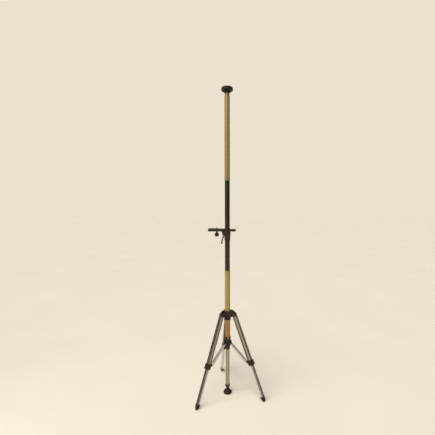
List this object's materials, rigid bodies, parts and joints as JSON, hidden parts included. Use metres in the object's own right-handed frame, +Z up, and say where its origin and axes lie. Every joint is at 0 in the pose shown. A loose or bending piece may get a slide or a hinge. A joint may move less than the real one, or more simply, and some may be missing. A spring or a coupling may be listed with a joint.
{
  "type": "laser support pole",
  "caption": "Telescopic floor-to-ceiling pole with a sprung ceiling pad, a folding tripod with braces, and a clamp-on platform whose screw holds a laser level.",
  "frame": {"origin": "on the pole's axis at the underside of the pole's foot, at floor level", "axes": "+Z up along the pole; the platform's arm points along -X; the tripod's legs point 99.5, 219.5 and 339.5 degrees from +X, turning towards +Y"},
  "size_m": [0.4997, 0.4752, 2.318],
  "materials": {
    "gold_anodised": "satin olive-gold anodised tube",
    "black_anodised": "satin black anodised tube",
    "silver_anodised": "natural anodised aluminium with drawing lines",
    "black_plastic": "fine-grained black moulded plastic",
    "black_rubber": "matt black rubber",
    "black_paint": "satin black powder coat",
    "pale_nylon": "pale nylon",
    "steel": "zinc-plated steel"
  },
  "bodies": {
    "pole": {"lower_gold_tube": "gold_anodised", "lower_coupler": "silver_anodised", "black_tube": "black_anodised", "upper_coupler": "silver_anodised", "upper_gold_tube": "gold_anodised", "spring_seat": "black_plastic", "plunger_spring": "steel", "retaining_screw": "steel", "brace_hub": "black_plastic", "hub_pin_back": "steel", "hub_pin_left": "steel", "hub_pin_right": "steel", "tube_collet": "pale_nylon"},
    "lock_ring": {"lock_ring": "black_plastic"},
    "ceiling_head": {"plunger_tube": "silver_anodised", "pad_socket": "black_plastic", "ceiling_pad": "black_rubber"},
    "lower_tube": {"lower_tube": "silver_anodised", "lower_tube_guide": "black_plastic", "foot_socket": "black_plastic", "pole_foot": "black_rubber"},
    "tripod_collar": {"tripod_collar": "black_plastic", "collar_bush": "pale_nylon", "pinch_screw": "steel", "leg_pin_back": "steel", "leg_pin_left": "steel", "leg_pin_right": "steel"},
    "clamp_slide": {"clamp_liner": "pale_nylon"},
    "platform": {"clamp_body": "black_plastic", "lever_pin": "steel", "platform": "black_paint", "platform_mat": "black_rubber"},
    "clamp_lever": {"clamp_lever": "black_plastic"},
    "tension_knob": {"tension_knob": "black_plastic", "tension_screw": "steel"},
    "slot_carriage": {"slot_washer": "steel"},
    "laser_screw": {"laser_stud": "steel", "fixing_knob": "black_plastic"},
    "leg_back": {"upper_leg_back": "silver_anodised", "leg_clamp_back": "black_plastic", "lock_pin_back": "steel"},
    "lock_lever_back": {"lock_lever_back": "black_plastic"},
    "lower_leg_back": {"lower_leg_back": "silver_anodised", "leg_foot_back": "black_rubber"},
    "brace_back": {"brace_back": "silver_anodised"},
    "leg_left": {"upper_leg_left": "silver_anodised", "leg_clamp_left": "black_plastic", "lock_pin_left": "steel"},
    "lock_lever_left": {"lock_lever_left": "black_plastic"},
    "lower_leg_left": {"lower_leg_left": "silver_anodised", "leg_foot_left": "black_rubber"},
    "brace_left": {"brace_left": "silver_anodised"},
    "leg_right": {"upper_leg_right": "silver_anodised", "leg_clamp_right": "black_plastic", "lock_pin_right": "steel"},
    "lock_lever_right": {"lock_lever_right": "black_plastic"},
    "lower_leg_right": {"lower_leg_right": "silver_anodised", "leg_foot_right": "black_rubber"},
    "brace_right": {"brace_right": "silver_anodised"}
  },
  "joints": [
    {"name": "ceiling_head_press", "type": "slide", "parent": "pole", "child": "ceiling_head", "axis": [0, 0, -1], "range_m": [0, 0.0155], "stiffness_N_per_m": 1500, "springref_m": -0.03, "deforming": ["plunger_spring"]},
    {"name": "lower_tube_slide", "type": "slide", "parent": "pole", "child": "lower_tube", "axis": [0, 0, 1], "range_m": [-0.08, 0.26]},
    {"name": "lock_ring_twist", "type": "hinge", "parent": "pole", "child": "lock_ring", "pos_m": [0, 0, 0.36], "axis": [0, 0, 1], "range_deg": [0, 90]},
    {"name": "collar_slide", "type": "slide", "parent": "pole", "child": "tripod_collar", "axis": [0, 0, 1], "range_m": [-0.0389, 0]},
    {"name": "leg_fold_back", "type": "hinge", "parent": "tripod_collar", "child": "leg_back", "pos_m": [-0.00908, 0.05425, 0.599], "axis": [-0.9863, -0.165, 0], "range_deg": [0, 20.72]},
    {"name": "brace_fold_back", "type": "hinge", "parent": "pole", "child": "brace_back", "pos_m": [-0.00512, 0.03058, 0.374], "axis": [-0.9863, -0.165, 0], "range_deg": [0, 48.76]},
    {"name": "leg_extend_back", "type": "slide", "parent": "leg_back", "child": "lower_leg_back", "axis": [0.0583, -0.3482, 0.9356], "range_m": [-0.03, 0.185]},
    {"name": "lock_lever_back_open", "type": "hinge", "parent": "leg_back", "child": "lock_lever_back", "pos_m": [-0.03427, 0.20478, 0.25792], "axis": [-0.9863, -0.165, 0], "range_deg": [0, 95]},
    {"name": "leg_fold_left", "type": "hinge", "parent": "tripod_collar", "child": "leg_left", "pos_m": [-0.04244, -0.03498, 0.599], "axis": [0.6361, -0.7716, 0], "range_deg": [0, 20.72]},
    {"name": "brace_fold_left", "type": "hinge", "parent": "pole", "child": "brace_left", "pos_m": [-0.02392, -0.01972, 0.374], "axis": [0.6361, -0.7716, 0], "range_deg": [0, 48.76]},
    {"name": "leg_extend_left", "type": "slide", "parent": "leg_left", "child": "lower_leg_left", "axis": [0.2724, 0.2245, 0.9356], "range_m": [-0.03, 0.185]},
    {"name": "lock_lever_left_open", "type": "hinge", "parent": "leg_left", "child": "lock_lever_left", "pos_m": [-0.16021, -0.13207, 0.25792], "axis": [0.6361, -0.7716, 0], "range_deg": [0, 95]},
    {"name": "leg_fold_right", "type": "hinge", "parent": "tripod_collar", "child": "leg_right", "pos_m": [0.05152, -0.01926, 0.599], "axis": [0.3502, 0.9367, 0], "range_deg": [0, 20.72]},
    {"name": "brace_fold_right", "type": "hinge", "parent": "pole", "child": "brace_right", "pos_m": [0.02904, -0.01086, 0.374], "axis": [0.3502, 0.9367, 0], "range_deg": [0, 48.76]},
    {"name": "leg_extend_right", "type": "slide", "parent": "leg_right", "child": "lower_leg_right", "axis": [-0.3307, 0.1236, 0.9356], "range_m": [-0.03, 0.185]},
    {"name": "lock_lever_right_open", "type": "hinge", "parent": "leg_right", "child": "lock_lever_right", "pos_m": [0.19448, -0.07271, 0.25792], "axis": [0.3502, 0.9367, 0], "range_deg": [0, 95]},
    {"name": "platform_slide", "type": "slide", "parent": "pole", "child": "clamp_slide", "axis": [0, 0, 1], "range_m": [-0.225, 0.355]},
    {"name": "platform_swivel", "type": "hinge", "parent": "clamp_slide", "child": "platform", "pos_m": [0, 0, 1.2], "axis": [0, 0, 1], "continuous": true},
    {"name": "clamp_lever_open", "type": "hinge", "parent": "platform", "child": "clamp_lever", "pos_m": [-0.0315, 0, 1.199], "axis": [0, 1, 0], "range_deg": [0, 40]},
    {"name": "tension_knob_turn", "type": "hinge", "parent": "platform", "child": "tension_knob", "pos_m": [0.045, 0, 1.232], "axis": [1, 0, 0], "continuous": true},
    {"name": "laser_screw_travel", "type": "slide", "parent": "platform", "child": "slot_carriage", "axis": [-1, 0, 0], "range_m": [-0.004, 0.044]},
    {"name": "laser_screw_turn", "type": "hinge", "parent": "slot_carriage", "child": "laser_screw", "pos_m": [-0.08, 0, 1.2], "axis": [0, 0, 1], "continuous": true}
  ],
  "couplings": [
    {"joint": "leg_fold_back", "follows": "collar_slide", "rad_per_m": -9.2746},
    {"joint": "brace_fold_back", "follows": "collar_slide", "rad_per_m": -21.857},
    {"joint": "leg_fold_left", "follows": "collar_slide", "rad_per_m": -9.2746},
    {"joint": "brace_fold_left", "follows": "collar_slide", "rad_per_m": -21.857},
    {"joint": "leg_fold_right", "follows": "collar_slide", "rad_per_m": -9.2746},
    {"joint": "brace_fold_right", "follows": "collar_slide", "rad_per_m": -21.857}
  ]
}
